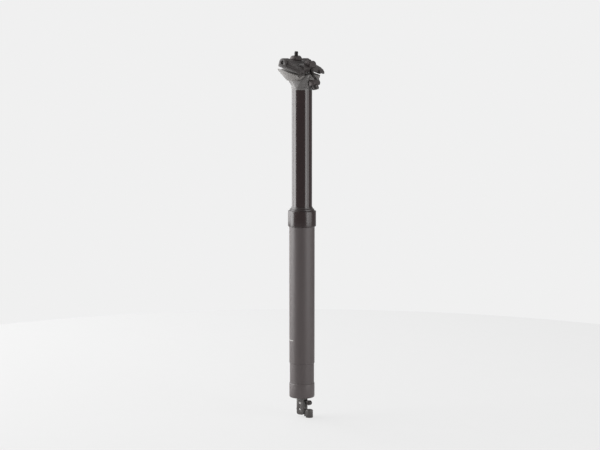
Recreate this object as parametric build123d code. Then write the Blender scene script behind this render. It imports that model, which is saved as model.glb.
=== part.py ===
from build123d import *

import math
import os

# Dropper seatpost, in millimetres. +X points forward, +Y to the rider's left and +Z up the post.
# The origin is the centre of the collar's underside, where the top of the frame's seat tube ends.

# Clearances
RUN = 0.05              # radial gap of a shaft that slides or turns in its bore
SEAL_GAP = 0.04         # radial gap of a seal's lip
FREE = 0.3              # gap between faces that must stay apart
EXTRA = 1.0             # how far a cutting tool runs past the face it cuts

# Stroke
TRAVEL = 140.0
OVERLAP = 65.0          # stanchion still inside the outer post at full height
STROKE_END = 0.3        # gap to the bumper with the post fully down
SPARE = 4.5             # stanchion left above the wiper with the post fully down

# Outer post
POST_R = 15.8
BORE_R = 13.3
BAND_DEPTH = 0.6
BAND_LENGTH = 25.5
COLLAR_THREAD_DEPTH = 0.6
COLLAR_THREAD_LENGTH = 13.0
CAP_THREAD_DEPTH = 0.9
CAP_LENGTH = 18.1
CAP_FLOOR = 3.6
CAP_CHAMFER = 0.8
BOSS_R = 6.5
BOSS_HEIGHT = 10.0
SPANNER_HOLE_R = 1.5
SPANNER_HOLE_DEPTH = 2.0
SPANNER_CIRCLE_R = 11.5
SPANNER_HOLES = 4

# Anti-rotation keys
KEYS = 3
KEY_WIDTH = 2.4
KEY_LENGTH = 14.0
KEY_SEAT_DEPTH = 0.8
KEYWAY_DEPTH = 0.8

# Collar and what it holds
COLLAR_R = 17.4
COLLAR_HEIGHT = 20.0
COLLAR_CHAMFER = 0.8
SEAL_SEAT_R = 14.5
BUSH_LENGTH = 27.0
BUSH_FLANGE = 1.0
FOAM_HEIGHT = 2.0
FOAM_GAP = 0.3
WIPER_RISE = 4.5
WIPER_RIM = 0.7
WIPER_RELIEF = 0.55
WIPER_LIP = 0.9
TOPOUT_HEIGHT = 3.0
TOPOUT_GAP = 0.5
BUMPER_HEIGHT = 5.7
BUMPER_WALL = 5.1

# Stanchion
STANCHION_R = 12.5
STANCHION_WALL = 1.8
GUIDE_LENGTH = 8.0
GUIDE_SEAT_DEPTH = 0.4
GUIDE_SPLIT = 1.2
GUIDE_INSET = 2.0

# Gas spring
ROD_R = 4.0
ROD_BORE_R = 1.45
ROD_STUB_R = 2.6
CYLINDER_R = 10.3
CYLINDER_BORE_R = 9.0
NUT_INSET = 1.0
NUT_HEIGHT = 6.0
NUT_BORE_R = 8.5
NUT_NOTCH = 2.5
GLAND_LENGTH = 10.0
GLAND_GAP = 2.0
PISTON_LENGTH = 8.0
PISTON_GAP = 0.08
PISTON_SEAL_WIDTH = 3.0
PISTON_SEAL_DEPTH = 1.6
ROD_SEAL_WIDTH = 2.5
ROD_SEAL_DEPTH = 1.55
PORT_R = 0.8
PORT_CIRCLE_R = 5.2
PORTS = 4
POPPET_R = 6.4
POPPET_HEIGHT = 1.8
POPPET_MARGIN = 2.0
FLOATER_LENGTH = 10.0
PLUG_LENGTH = 6.0
PLUG_FLANGE = 2.5
FILL_R = 2.5
FILL_HEAD_R = 3.6
FILL_HEAD = 3.0

# Head
SPIGOT_LENGTH = 18.0
SPIGOT_BORE_R = 6.0
SPIGOT_BORE_RISE = -3.0
TILT_RISE = 29.5        # from the head's seam up to the axis that the clamp tilts about
TILT = 17.0             # nose-down turn of the clamp, which levels a saddle on a 73 degree seat tube
CRADLE_R = 18.0
CRADLE_GAP = 0.08
CRADLE_FACET = 15.6     # from the tilt axis to the flat under each end of the cradle
CRADLE_FACET_TURN = 26.0  # the flat faces down and this many degrees to the rear
HEAD_TOP = 18.0
HEAD_WIDTH = 24.4
HEAD_DEPTH = 33.0
LUG_WIDTH = 16.8
LUG_RISE = 8.9          # barrel washer's axis above the head's seam
LUG_REACH = 18.1        # front barrel washer's axis forward of the post's axis
LUG_OVERHANG = 2.9
LUG_TIP_RISE = 2.5
REAR_LUG_WIDTH = 13.0
REAR_LUG_REACH = 11.0   # rear barrel washer's axis behind the post's axis
REAR_LUG_OVERHANG = 4.0
NECK_FOOT = 2.0         # heights of the neck's sections above the head's seam
NECK_WAIST = 6.0
NECK_FLARE = 10.0
NECK_WAIST_GROWTH = 1.6
NECK_FLARE_GROWTH = 5.0
NECK_ROUNDS = (12.2, 11.7, 9.7, 6.2)
LUG_ROOF = 3.0
LUG_FOOT = 6.0
LUG_ROUND = 1.2

# Clamp bolts, their barrel washers and barrel nuts
BOLT_R = 2.5
BOLT_HEAD_R = 4.25
REAR_BOLT_HEAD_R = 3.6
BOLT_HEAD = 5.0
HEX_FLATS = 4.0
HEX_DEPTH = 3.0
TAIL_HEX_FLATS = 2.5    # the rear bolt is turned by the socket in its upper end
TAIL_HEX_DEPTH = 2.5
WASHER_R = 4.2
WASHER_LENGTH = 14.0
WASHER_SEAT = 3.4
REAR_WASHER_R = 3.5
REAR_WASHER_LENGTH = 9.0
REAR_WASHER_SEAT = 2.7
BOLT_SLOT = 6.2
NUT_R = 4.5
NUT_LENGTH = 13.0
NUT_CLEAR = 0.2
NUT_ARM = 11.0          # barrel nut's axis along the clamp, from the tilt axis
NUT_RISE = 5.2          # barrel nut's axis above the tilt axis, square to the clamp
FRONT_BOLT_TAIL = 5.7
REAR_BOLT_TAIL = 9.6
BOLT_POINT = 0.6

# Saddle clamp
RAIL_R = 3.5
RAIL_SPACING = 44.0
RAIL_DROP = 6.9         # rail's centre below the tilt axis
CLAMP_GAP = 2.8         # gap between the lower cradle and the upper clamp
CLAMP_WIDTH = 54.0
FRONT_BEVEL = 4.0
FRONT_BEVEL_INWARD = 6.0
FRONT_POCKET = 10.5
REAR_POCKET = -0.8      # the rear pocket starts this far behind the tilt axis: below 0, ahead of it
POCKET_WIDTH = 25.0
REAR_POCKET_WIDTH = 9.0
TOP_POCKET_DEPTH = 4.0
BRIDGE_WIDTH = 34.0
BRIDGE_RISE = 2.1
WING_FRONT = 17.6
WING_REAR = 16.2
WING_LIP = 4.6          # heights of the wing's lip, shoulder and crest above its foot
WING_SHOULDER = 6.8
WING_CREST = 8.6
WING_SHOULDER_INSET = 6.0
LOBE_X = 10.9
LOBE_Z = 0.9
LOBE_R = 5.3
LOBE_DIMPLE_R = 2.2
LOBE_DIMPLE_DEPTH = 1.2
RIDGE_STEP = 0.8
RIDGE_HEIGHT = 2.4
CLAMP_SLOT = 6.0
FRONT_SLOT_SPARE = 1.2  # room inward of each bolt, for its swing
REAR_SLOT_SPARE = 3.2
TOP_POCKET_REACH = 4.2
SADDLE_BLOCK = 6.4
SADDLE_RISE = 0.9
SADDLE_FRONT_SPARE = 0.4
SADDLE_FRONT_FALL = 1.4
BRIDGE_FRONT_INSET = 3.2
BRIDGE_NOSE_INSET = 2.6
BRIDGE_REAR_INSET = 1.2

# Actuator, placed down from the base cap's underside
JAM_RECESS = 1.6
JAM_RECESS_R = 8.2
JAM_FLATS = 13.0
JAM_HEIGHT = 2.4
STUD_RISE = 3.0
BRACKET_REAR = 5.1
BRACKET_FRONT = 5.5
BRACKET_WIDTH = 8.9
BRACKET_DROP = 22.5
BRACKET_ROOF = 2.6
BRACKET_SLOT = 4.2
BRACKET_ROUND = 3.0
PIVOT_DROP = 7.6
PIVOT_R = 1.5
PIN_PROUD = 0.3
PIN_CHAMFER = 0.3
STOP_PIN_DROP = 15.9
STOP_PIN_R = 1.4
LEVER_WIDTH = 3.6
LEVER_TURN = 25.0
VALVE_LIFT = 1.2
VALVE_PIN_R = 1.4
CAM_R = 2.55            # cam's radius where the valve pin rests
HUB_R = 3.0
EYE_REACH = 11.2
EYE_RISE = 0.7
EYE_R = 2.9
ARM_TOP = 3.4
ARM_UNDERSIDE = 1.2
BARREL_R = 2.1
BARREL_LENGTH = 5.2
CABLE_HOLE_R = 0.7
CABLE_SLOT = 1.8
PINCH_R = 1.25
PINCH_LENGTH = 1.8
PINCH_FLATS = 1.3
STOP_BOSS_R = 4.5
STOP_BOSS_TOP = 15.2
STOP_BOSS_HEIGHT = 10.0
STOP_BOSS_ROUND = 1.6
STOP_NECK_WIDTH = 6.8
STOP_NECK_TOP = 16.4
STOP_NECK_FOOT = 23.9
TONGUE_TOP = 12.4
SPRING_SEAT_DROP = 13.4
SPRING_SEAT_X = 2.6
FERRULE_R = 2.55
FERRULE_DEPTH = 6.5
CABLE_WAY_R = 0.9
LOCK_SCREW_R = 1.5
LOCK_SCREW_HEAD_R = 2.6
LOCK_SCREW_HEAD = 2.0
LOCK_SCREW_FLATS = 2.0
SPRING_X = 4.2
SPRING_MEAN_R = 1.15
SPRING_WIRE_R = 0.2
SPRING_TURNS = 5
SPRING_TAIL_TURN = 60.0  # degrees over which each end of the wire turns upright

# Heights worked out from the sizes above
STANCHION_BOTTOM = -OVERLAP
TUBE_BOTTOM = STANCHION_BOTTOM - TRAVEL - STROKE_END - BUMPER_HEIGHT
CAP_BOTTOM = TUBE_BOTTOM - CAP_FLOOR
CAP_TOP = CAP_BOTTOM + CAP_LENGTH
BAND_TOP = CAP_TOP + BAND_LENGTH
BAND_R = POST_R - BAND_DEPTH
CAP_THREAD_R = POST_R - CAP_THREAD_DEPTH
COLLAR_THREAD_R = POST_R - COLLAR_THREAD_DEPTH
SEAM = COLLAR_HEIGHT + WIPER_RISE + SPARE + TRAVEL
STANCHION_BORE_R = STANCHION_R - STANCHION_WALL
BUSH_BOTTOM = COLLAR_THREAD_LENGTH - BUSH_LENGTH
KEY_TOP = BUSH_BOTTOM - TOPOUT_HEIGHT - FREE
KEYWAY_R = BORE_R + KEYWAY_DEPTH
KEYWAY_BOTTOM = KEY_TOP - KEY_LENGTH - TRAVEL - EXTRA
NUT_BOTTOM = STANCHION_BOTTOM + NUT_INSET
CYLINDER_BOTTOM = NUT_BOTTOM + NUT_HEIGHT
SPIGOT_BOTTOM = SEAM - SPIGOT_LENGTH
CYLINDER_TOP = SPIGOT_BOTTOM - PLUG_FLANGE
PISTON_BOTTOM = CYLINDER_BOTTOM + GLAND_LENGTH + GLAND_GAP
PISTON_TOP = PISTON_BOTTOM + PISTON_LENGTH
FLOATER_RATIO = (ROD_R / CYLINDER_BORE_R) ** 2
FLOATER_BOTTOM = (PISTON_TOP + POPPET_HEIGHT + VALVE_LIFT + POPPET_MARGIN
                  + TRAVEL * (1 - FLOATER_RATIO))
STUD_TOP = TUBE_BOTTOM + STUD_RISE
TILT_Z = SEAM + TILT_RISE
JAM_TOP = CAP_BOTTOM + JAM_RECESS
BRACKET_TOP = JAM_TOP - JAM_HEIGHT
BRACKET_BOTTOM = CAP_BOTTOM - BRACKET_DROP
PIVOT_Z = CAP_BOTTOM - PIVOT_DROP
STOP_PIN_Z = CAP_BOTTOM - STOP_PIN_DROP


def rod_z(radius, low, high, x=0.0, y=0.0):
    """A cylinder along Z."""
    return Pos(x, y, (low + high) / 2) * Cylinder(radius, high - low)


def rod_y(radius, low, high, x, z):
    """A cylinder along Y."""
    return Pos(x, (low + high) / 2, z) * Rot(90, 0, 0) * Cylinder(radius, high - low)


def rod_x(radius, low, high, y, z):
    """A cylinder along X."""
    return Pos((low + high) / 2, y, z) * Rot(0, 90, 0) * Cylinder(radius, high - low)


def ring(outer, inner, low, high):
    """A tube round the post's axis."""
    return rod_z(outer, low, high) - rod_z(inner, low - EXTRA, high + EXTRA)


def block(x0, x1, y0, y1, z0, z1):
    """A box between two corners."""
    centre = Pos((x0 + x1) / 2, (y0 + y1) / 2, (z0 + z1) / 2)
    return centre * Box(x1 - x0, y1 - y0, z1 - z0)


def turned(points):
    """A closed (radius, height) outline turned round the post's axis."""
    return revolve(Plane.XZ * make_face(Polyline(*points, close=True)), Axis.Z)


def slab(face, y0, y1):
    """A side-view face, drawn in X and Z, made thick from y0 to y1."""
    return extrude(Plane.XZ.offset(-y1) * face, amount=y1 - y0)


def outline(points):
    """A straight-sided side-view face."""
    return make_face(Polyline(*points, close=True))


def around(shape, count, start=0.0):
    """Copies of a shape spread evenly round the post's axis."""
    copies = [Rot(0, 0, start + i * 360 / count) * shape for i in range(count)]
    total = copies[0]
    for copy in copies[1:]:
        total = total + copy
    return total


def hexagon_prism(flats, low, high):
    """A hexagonal prism along Z, measured across its flats."""
    return Pos(0, 0, low) * extrude(RegularPolygon(flats / 2, 6, major_radius=False), amount=high - low)


def make_lower_tube():
    """The outer post: threaded neck, plain length, turned-down band, threaded foot, three keyways."""
    tube = turned([
        (BORE_R, TUBE_BOTTOM), (CAP_THREAD_R, TUBE_BOTTOM), (CAP_THREAD_R, CAP_TOP), (BAND_R, CAP_TOP),
        (BAND_R, BAND_TOP - BAND_DEPTH), (POST_R, BAND_TOP), (POST_R, 0), (COLLAR_THREAD_R, 0),
        (COLLAR_THREAD_R, COLLAR_THREAD_LENGTH), (BORE_R, COLLAR_THREAD_LENGTH),
    ])
    half = KEY_WIDTH / 2 + RUN
    keyway = block(0, KEYWAY_R + EXTRA, -half, half, KEYWAY_BOTTOM, BUSH_BOTTOM)
    keyways = around(keyway, KEYS) & rod_z(KEYWAY_R, KEYWAY_BOTTOM, BUSH_BOTTOM)
    return tube - keyways


def make_seal_collar():
    """The threaded ring at the top of the outer post."""
    return turned([
        (COLLAR_THREAD_R, 0), (COLLAR_R - COLLAR_CHAMFER, 0), (COLLAR_R, COLLAR_CHAMFER),
        (COLLAR_R, COLLAR_HEIGHT - COLLAR_CHAMFER), (COLLAR_R - COLLAR_CHAMFER, COLLAR_HEIGHT),
        (SEAL_SEAT_R, COLLAR_HEIGHT), (SEAL_SEAT_R, COLLAR_THREAD_LENGTH), (COLLAR_THREAD_R, COLLAR_THREAD_LENGTH),
    ])


def make_wiper_seal():
    """The rubber wiper, with a lip at each end and a rim over the collar."""
    lip = STANCHION_R + RUN
    relief = lip + WIPER_RELIEF
    foot = COLLAR_THREAD_LENGTH + BUSH_FLANGE + FOAM_HEIGHT
    rim = SEAL_SEAT_R + WIPER_RIM
    top = COLLAR_HEIGHT + WIPER_RISE
    return turned([
        (lip, foot), (lip, foot + WIPER_LIP), (relief, foot + WIPER_LIP + WIPER_RELIEF),
        (relief, top - WIPER_LIP - 2 * WIPER_RELIEF), (lip, top - WIPER_LIP), (lip, top),
        (relief, top), (relief + WIPER_RELIEF, top - 2 * WIPER_LIP), (rim, COLLAR_HEIGHT + 2 * WIPER_LIP),
        (rim, COLLAR_HEIGHT), (SEAL_SEAT_R, COLLAR_HEIGHT), (SEAL_SEAT_R, foot),
    ])


def make_upper_bush():
    """The split-free plastic bush that the stanchion slides in, flanged over the tube's end."""
    inner = STANCHION_R + RUN
    top = COLLAR_THREAD_LENGTH + BUSH_FLANGE
    return (ring(BORE_R, inner, BUSH_BOTTOM, COLLAR_THREAD_LENGTH)
            + ring(SEAL_SEAT_R, inner, COLLAR_THREAD_LENGTH, top))


def make_foam_ring():
    """The oil-soaked ring between bush and wiper."""
    low = COLLAR_THREAD_LENGTH + BUSH_FLANGE
    return ring(SEAL_SEAT_R, STANCHION_R + FOAM_GAP, low, low + FOAM_HEIGHT)


def make_topout_ring():
    """The ring under the bush that stops the keys at full height."""
    return ring(BORE_R, BORE_R - TOPOUT_GAP, BUSH_BOTTOM - TOPOUT_HEIGHT, BUSH_BOTTOM)


def make_base_cap():
    """The cup screwed on the outer post's foot, bored for the gas spring's rod and the actuator's stud."""
    cap = turned([
        (0, CAP_BOTTOM), (POST_R - CAP_CHAMFER, CAP_BOTTOM), (POST_R, CAP_BOTTOM + CAP_CHAMFER),
        (POST_R, CAP_TOP - BAND_DEPTH), (BAND_R, CAP_TOP), (CAP_THREAD_R, CAP_TOP),
        (CAP_THREAD_R, TUBE_BOTTOM), (BOSS_R, TUBE_BOTTOM), (BOSS_R, TUBE_BOTTOM + BOSS_HEIGHT),
        (0, TUBE_BOTTOM + BOSS_HEIGHT),
    ])
    cap = cap - rod_z(ROD_R, CAP_BOTTOM - EXTRA, TUBE_BOTTOM + BOSS_HEIGHT + EXTRA)
    cap = cap - rod_z(JAM_RECESS_R, CAP_BOTTOM - EXTRA, JAM_TOP)
    hole = rod_z(SPANNER_HOLE_R, CAP_BOTTOM - EXTRA, CAP_BOTTOM + SPANNER_HOLE_DEPTH, x=SPANNER_CIRCLE_R)
    return cap - around(hole, SPANNER_HOLES, start=180 / SPANNER_HOLES)


def make_bottom_bumper():
    """The rubber ring that the stanchion's foot lands on."""
    outer = BORE_R - EXTRA
    return ring(outer, outer - BUMPER_WALL, TUBE_BOTTOM, TUBE_BOTTOM + BUMPER_HEIGHT)


def make_stanchion():
    """The sliding tube, with pockets for the keys and a groove for the guide ring."""
    tube = ring(STANCHION_R, STANCHION_BORE_R, STANCHION_BOTTOM, SEAM)
    groove_low = STANCHION_BOTTOM + GUIDE_INSET
    tube = tube - ring(STANCHION_R + EXTRA, STANCHION_R - GUIDE_SEAT_DEPTH, groove_low, groove_low + GUIDE_LENGTH)
    pocket = block(STANCHION_R - KEY_SEAT_DEPTH, STANCHION_R + EXTRA, -KEY_WIDTH / 2, KEY_WIDTH / 2,
                   KEY_TOP - KEY_LENGTH, KEY_TOP)
    return tube - around(pocket, KEYS)


def make_keys():
    """The three keys seated in the stanchion, which run in the outer post's keyways."""
    key = block(STANCHION_R - KEY_SEAT_DEPTH, KEYWAY_R + EXTRA, -KEY_WIDTH / 2, KEY_WIDTH / 2,
                KEY_TOP - KEY_LENGTH, KEY_TOP)
    limit = rod_z(KEYWAY_R - 2 * RUN, KEY_TOP - KEY_LENGTH - EXTRA, KEY_TOP + EXTRA)
    return around(key & limit, KEYS)


def make_guide_ring():
    """The split plastic ring in the stanchion's groove."""
    low = STANCHION_BOTTOM + GUIDE_INSET
    band = ring(BORE_R - RUN, STANCHION_R - GUIDE_SEAT_DEPTH, low, low + GUIDE_LENGTH)
    split = block(0, BORE_R + EXTRA, -GUIDE_SPLIT / 2, GUIDE_SPLIT / 2, low - EXTRA, low + GUIDE_LENGTH + EXTRA)
    return band - Rot(0, 0, 180) * split


def make_retaining_nut():
    """The notched ring screwed into the stanchion's foot, which holds the gas spring up."""
    nut = ring(STANCHION_BORE_R, NUT_BORE_R, NUT_BOTTOM, CYLINDER_BOTTOM)
    notch = block(0, STANCHION_R, -NUT_NOTCH / 2, NUT_NOTCH / 2, NUT_BOTTOM - EXTRA, NUT_BOTTOM + NUT_NOTCH)
    return nut - around(notch & rod_z(STANCHION_BORE_R + EXTRA, NUT_BOTTOM - EXTRA, CYLINDER_BOTTOM), 4)


def make_rod():
    """The hollow rod fixed in the base cap, with the stub that carries the main piston."""
    rod = rod_z(ROD_R, STUD_TOP, PISTON_BOTTOM) + rod_z(ROD_STUB_R, PISTON_BOTTOM, PISTON_TOP)
    return rod - rod_z(ROD_BORE_R, STUD_TOP - EXTRA, PISTON_TOP + EXTRA)


def seal_groove(outer, depth, low, high):
    """The groove that a seal lies in, cut into a piston's rim."""
    return ring(outer + EXTRA, outer - depth, low, high)


def make_piston():
    """The main piston, with the ports that the valve closes."""
    outer = CYLINDER_BORE_R - PISTON_GAP
    middle = (PISTON_BOTTOM + PISTON_TOP) / 2
    piston = ring(outer, ROD_STUB_R, PISTON_BOTTOM, PISTON_TOP)
    piston = piston - seal_groove(outer, PISTON_SEAL_DEPTH, middle - PISTON_SEAL_WIDTH / 2,
                                  middle + PISTON_SEAL_WIDTH / 2)
    port = rod_z(PORT_R, PISTON_BOTTOM - EXTRA, PISTON_TOP + EXTRA, x=PORT_CIRCLE_R)
    return piston - around(port, PORTS)


def make_piston_seal(low, high):
    """The seal in the rim of a piston that lies between two heights."""
    middle = (low + high) / 2
    inner = CYLINDER_BORE_R - PISTON_GAP - PISTON_SEAL_DEPTH
    return ring(CYLINDER_BORE_R - SEAL_GAP, inner, middle - PISTON_SEAL_WIDTH / 2, middle + PISTON_SEAL_WIDTH / 2)


def make_valve_pin():
    """The long pin through the rod, with a round foot on the cam and a poppet on the main piston."""
    foot = PIVOT_Z + CAM_R + RUN + VALVE_PIN_R
    stem = rod_z(VALVE_PIN_R, foot, PISTON_TOP) + Pos(0, 0, foot) * Sphere(VALVE_PIN_R)
    return stem + rod_z(POPPET_R, PISTON_TOP, PISTON_TOP + POPPET_HEIGHT)


def make_gland():
    """The plug that guides and seals the rod at the cylinder's foot."""
    top = CYLINDER_BOTTOM + GLAND_LENGTH
    gland = ring(CYLINDER_BORE_R, ROD_R + RUN, CYLINDER_BOTTOM, top)
    return gland - rod_z(ROD_R + ROD_SEAL_DEPTH, *rod_seal_span())


def rod_seal_span():
    """The heights that the rod's seal lies between."""
    middle = CYLINDER_BOTTOM + GLAND_LENGTH / 2
    return middle - ROD_SEAL_WIDTH / 2, middle + ROD_SEAL_WIDTH / 2


def make_rod_seal():
    """The seal round the rod."""
    return ring(ROD_R + ROD_SEAL_DEPTH, ROD_R + SEAL_GAP, *rod_seal_span())


def make_floating_piston():
    """The piston between oil and gas, which rises as the rod takes up room in the cylinder."""
    outer = CYLINDER_BORE_R - PISTON_GAP
    top = FLOATER_BOTTOM + FLOATER_LENGTH
    middle = (FLOATER_BOTTOM + top) / 2
    half = PISTON_SEAL_WIDTH / 2
    return rod_z(outer, FLOATER_BOTTOM, top) - seal_groove(outer, PISTON_SEAL_DEPTH, middle - half, middle + half)


def make_cylinder_plug():
    """The plug at the cylinder's head, bored for the fill valve."""
    plug = rod_z(CYLINDER_BORE_R, CYLINDER_TOP - PLUG_LENGTH, CYLINDER_TOP)
    plug = plug + rod_z(CYLINDER_R, CYLINDER_TOP, SPIGOT_BOTTOM)
    return plug - rod_z(FILL_R, CYLINDER_TOP - PLUG_LENGTH - EXTRA, SPIGOT_BOTTOM + EXTRA)


def make_fill_valve():
    """The gas spring's fill screw."""
    return (rod_z(FILL_R, CYLINDER_TOP - PLUG_LENGTH, SPIGOT_BOTTOM)
            + rod_z(FILL_HEAD_R, SPIGOT_BOTTOM, SPIGOT_BOTTOM + FILL_HEAD))


def nut_centre(side):
    """Where a barrel nut's axis lies in X and Z: side is 1 in front and -1 behind."""
    turn = math.radians(TILT)
    along = side * NUT_ARM
    return (along * math.cos(turn) + NUT_RISE * math.sin(turn),
            TILT_Z - along * math.sin(turn) + NUT_RISE * math.cos(turn))


def front_or_rear(side, front, rear):
    """The front or the rear bolt's value."""
    return front if side > 0 else rear


def lug_reach(side):
    """How far a barrel washer's axis lies from the post's axis."""
    return front_or_rear(side, LUG_REACH, REAR_LUG_REACH)


def washer_sizes(side):
    """A barrel washer's radius, length and seat."""
    return front_or_rear(side, (WASHER_R, WASHER_LENGTH, WASHER_SEAT),
                         (REAR_WASHER_R, REAR_WASHER_LENGTH, REAR_WASHER_SEAT))


def bolt_frame(side):
    """The place of a clamp bolt: its origin on the barrel washer's axis, its Z along the bolt."""
    foot_x, foot_z = side * lug_reach(side), SEAM + LUG_RISE
    top_x, top_z = nut_centre(side)
    lean = math.degrees(math.atan2(top_x - foot_x, top_z - foot_z))
    length = math.hypot(top_x - foot_x, top_z - foot_z)
    return Pos(foot_x, 0, foot_z) * Rot(0, lean, 0), length, lean


def make_bolt(side):
    """A clamp bolt, head down: the front one's socket is in its head, the rear one's in its upper end."""
    place, length, _ = bolt_frame(side)
    top = length + front_or_rear(side, FRONT_BOLT_TAIL, REAR_BOLT_TAIL)
    head_r = front_or_rear(side, BOLT_HEAD_R, REAR_BOLT_HEAD_R)
    _, _, seat = washer_sizes(side)
    foot = -seat - BOLT_HEAD
    shank = turned([(0, -seat), (BOLT_R, -seat), (BOLT_R, top - BOLT_POINT), (BOLT_R - BOLT_POINT, top), (0, top)])
    head = turned([(0, foot), (head_r - BOLT_POINT, foot), (head_r, foot + BOLT_POINT), (head_r, -seat), (0, -seat)])
    socket = front_or_rear(side, hexagon_prism(HEX_FLATS, foot - EXTRA, foot + HEX_DEPTH),
                           hexagon_prism(TAIL_HEX_FLATS, top - TAIL_HEX_DEPTH, top + EXTRA))
    return place * (shank + head - socket)


def make_barrel_washer(side):
    """The cross barrel that the bolt's head pulls up into the lug, with a flat for the head."""
    place, _, _ = bolt_frame(side)
    radius, length, seat = washer_sizes(side)
    half = length / 2
    barrel = rod_y(radius, -half, half, 0, 0) - rod_z(BOLT_R, -radius - EXTRA, radius + EXTRA)
    return place * (barrel - block(-radius, radius, -half, half, -radius - EXTRA, -seat))


def make_barrel_nut(side):
    """The cross barrel on top of the clamp, in which the bolt's thread runs."""
    _, _, lean = bolt_frame(side)
    x, z = nut_centre(side)
    barrel = rod_y(NUT_R, -NUT_LENGTH / 2, NUT_LENGTH / 2, 0, 0)
    bore = Rot(0, lean, 0) * rod_z(BOLT_R + NUT_CLEAR, -NUT_R - EXTRA, NUT_R + EXTRA)
    return Pos(x, 0, z) * (barrel - bore)


def make_head_neck():
    """The head's neck, which changes from the stanchion's round to the cradle's width."""
    around_post = 2 * STANCHION_R
    sections = [
        (NECK_FOOT, around_post, around_post), (NECK_WAIST, around_post + NECK_WAIST_GROWTH, around_post),
        (NECK_FLARE, around_post + NECK_FLARE_GROWTH, HEAD_WIDTH), (HEAD_TOP, HEAD_DEPTH, HEAD_WIDTH),
    ]
    faces = [Pos(0, 0, SEAM + z) * RectangleRounded(x, y, r) for (z, x, y), r in zip(sections, NECK_ROUNDS)]
    return rod_z(STANCHION_R, SEAM, SEAM + NECK_FOOT) + loft(faces)


def make_lug(side):
    """The hooked lug over a barrel washer, drawn from the side."""
    reach = lug_reach(side)
    radius, _, _ = washer_sizes(side)
    overhang = front_or_rear(side, LUG_OVERHANG, REAR_LUG_OVERHANG)
    half = front_or_rear(side, LUG_WIDTH, REAR_LUG_WIDTH) / 2
    low = SEAM + LUG_RISE
    tip = reach + overhang
    points = [
        (0, low - LUG_FOOT), (reach - radius, low - LUG_FOOT), (reach - radius, low), (tip, low),
        (tip, low + LUG_TIP_RISE), (reach, low + radius + LUG_ROOF),
        (min(reach, HEAD_DEPTH / 2) - overhang, SEAM + HEAD_TOP), (0, SEAM + HEAD_TOP),
    ]
    lug = slab(outline([(side * x, z) for x, z in points]), -half, half)
    corners = lug.edges().filter_by(Axis.Y).group_by(Axis.X)[-1 if side > 0 else 0]
    return fillet(corners, LUG_ROUND)


def make_post_head():
    """The forged head: spigot, neck, two lugs, and the trough that the cradle rocks in."""
    head = rod_z(STANCHION_BORE_R, SPIGOT_BOTTOM, SEAM) + make_head_neck()
    for side in (1, -1):
        head = head + make_lug(side)
    head = head - rod_z(SPIGOT_BORE_R, SPIGOT_BOTTOM - EXTRA, SEAM + SPIGOT_BORE_RISE)
    head = head - rod_y(CRADLE_R + CRADLE_GAP, -HEAD_DEPTH, HEAD_DEPTH, 0, TILT_Z)
    seat_z = SEAM + LUG_RISE
    for side in (1, -1):
        reach = lug_reach(side)
        radius, length, _ = washer_sizes(side)
        half = front_or_rear(side, HEAD_DEPTH, length / 2 + FREE)
        head = head - rod_y(radius + RUN, -half, half, side * reach, seat_z)
        inner, outer = side * (reach - radius - RUN), side * (HEAD_DEPTH + EXTRA)
        head = head - block(min(inner, outer), max(inner, outer), -half, half, SEAM, seat_z)
        slot_end = side * (reach - BOLT_R - FREE - BOLT_SLOT / 2)
        head = head - block(min(slot_end, outer), max(slot_end, outer), -BOLT_SLOT / 2, BOLT_SLOT / 2,
                            SEAM + EXTRA, TILT_Z)
    return head


CLAMP = Pos(0, 0, TILT_Z) * Rot(0, TILT, 0)
RAIL_Y = RAIL_SPACING / 2
LOWER_TOP = -RAIL_DROP - CLAMP_GAP / 2
UPPER_FOOT = -RAIL_DROP + CLAMP_GAP / 2


def rail_grooves():
    """Both rails' round grooves, along the clamp."""
    reach = 2 * CRADLE_R
    return (rod_x(RAIL_R, -reach, reach, RAIL_Y, -RAIL_DROP)
            + rod_x(RAIL_R, -reach, reach, -RAIL_Y, -RAIL_DROP))


def make_lower_cradle():
    """The half-round cradle under the rails, pocketed for both bolts."""
    half = CLAMP_WIDTH / 2
    cradle = rod_y(CRADLE_R, -half, half, 0, 0)
    cradle = cradle - block(-2 * CRADLE_R, 2 * CRADLE_R, -half - EXTRA, half + EXTRA, LOWER_TOP, 2 * CRADLE_R)
    cradle = cradle - rail_grooves()
    wide, narrow = POCKET_WIDTH / 2, REAR_POCKET_WIDTH / 2
    cradle = cradle - block(FRONT_POCKET, 2 * CRADLE_R, -wide, wide, -2 * CRADLE_R, 0)
    cradle = cradle - block(-2 * CRADLE_R, -REAR_POCKET, -narrow, narrow, -2 * CRADLE_R, 0)
    cradle = cradle - block(-TOP_POCKET_REACH, TOP_POCKET_REACH, -wide, wide,
                           LOWER_TOP - TOP_POCKET_DEPTH, 0)
    corner = math.sqrt(CRADLE_R ** 2 - LOWER_TOP ** 2)
    for side in (1, -1):
        near, far = sorted((side * (HEAD_WIDTH / 2 + EXTRA), side * (half + EXTRA)))
        under = block(-2 * CRADLE_R, 2 * CRADLE_R, near, far, -2 * CRADLE_R, -CRADLE_FACET)
        cradle = cradle - Rot(0, CRADLE_FACET_TURN, 0) * under
        bevel = make_face(Polyline(
            (corner - FRONT_BEVEL, side * half), (corner + EXTRA, side * half),
            (corner + EXTRA, side * (half - FRONT_BEVEL_INWARD)), (corner, side * (half - FRONT_BEVEL_INWARD)),
            close=True,
        ))
        cradle = cradle - Pos(0, 0, -2 * CRADLE_R) * extrude(bevel, amount=2 * CRADLE_R)
    return CLAMP * cradle


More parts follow.
